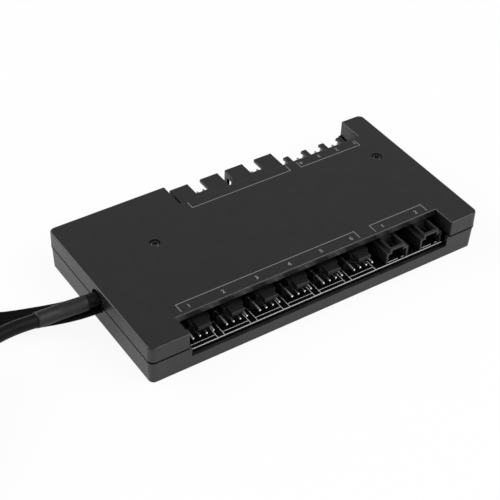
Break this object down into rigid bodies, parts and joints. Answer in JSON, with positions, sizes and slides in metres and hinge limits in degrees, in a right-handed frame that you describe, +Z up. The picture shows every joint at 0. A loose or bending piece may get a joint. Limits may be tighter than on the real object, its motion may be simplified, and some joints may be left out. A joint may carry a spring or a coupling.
{
  "type": "pc fan controller hub",
  "caption": "Flat black fan controller hub with rows of pin headers in its front and back edges and captive power and data leads.",
  "frame": {"origin": "centre of the housing's underside", "axes": "+X along the housing's length and its port rows, the fan ports face -Y, +Z up"},
  "size_m": [0.2808, 0.1026, 0.0162],
  "materials": {
    "housing": "fine moulded texture",
    "board": "solder mask",
    "header": "smooth moulded",
    "pin": "tinned",
    "chip": "moulded package",
    "can": "drawn can",
    "screw": "black oxide",
    "socket": "natural nylon",
    "bushing": "soft",
    "ribbon": "flat jacket",
    "cable": "round jacket",
    "sleeve": "shrunk sleeve",
    "tie": "band",
    "plug": "moulded"
  },
  "bodies": {
    "root": {"bottom_shell": "housing", "top_cover": "housing", "circuit_board": "board", "fan_header_1": "header", "fan_header_2": "header", "fan_header_3": "header", "fan_header_4": "header", "fan_header_5": "header", "fan_header_6": "header", "led_header_1": "header", "led_header_2": "header", "data_header_1": "header", "data_header_2": "header", "sensor_header_1": "header", "sensor_header_2": "header", "sensor_header_3": "header", "sensor_header_4": "header", "fan_pins_1": "pin", "fan_pins_2": "pin", "fan_pins_3": "pin", "fan_pins_4": "pin", "fan_pins_5": "pin", "fan_pins_6": "pin", "led_pins_1": "pin", "led_pins_2": "pin", "data_pins_1": "pin", "data_pins_2": "pin", "sensor_pins_1": "pin", "sensor_pins_2": "pin", "sensor_pins_3": "pin", "sensor_pins_4": "pin", "controller_chip": "chip", "inductor": "chip", "driver_chip_1": "chip", "driver_chip_2": "chip", "driver_chip_3": "chip", "driver_chip_4": "chip", "driver_chip_5": "chip", "driver_chip_6": "chip", "capacitor_1": "can", "capacitor_2": "can", "capacitor_3": "can", "crystal": "can", "cover_screws": "screw", "power_socket": "socket", "data_socket": "socket", "cable_grommet": "bushing", "power_lead": "ribbon", "power_coil": "ribbon", "power_tail": "ribbon", "data_lead": "cable", "data_coil": "cable", "data_tail": "cable", "lead_sleeve": "sleeve", "power_tie": "tie", "data_tie": "tie", "power_plug": "plug", "data_plug": "plug"}
  },
  "joints": []
}
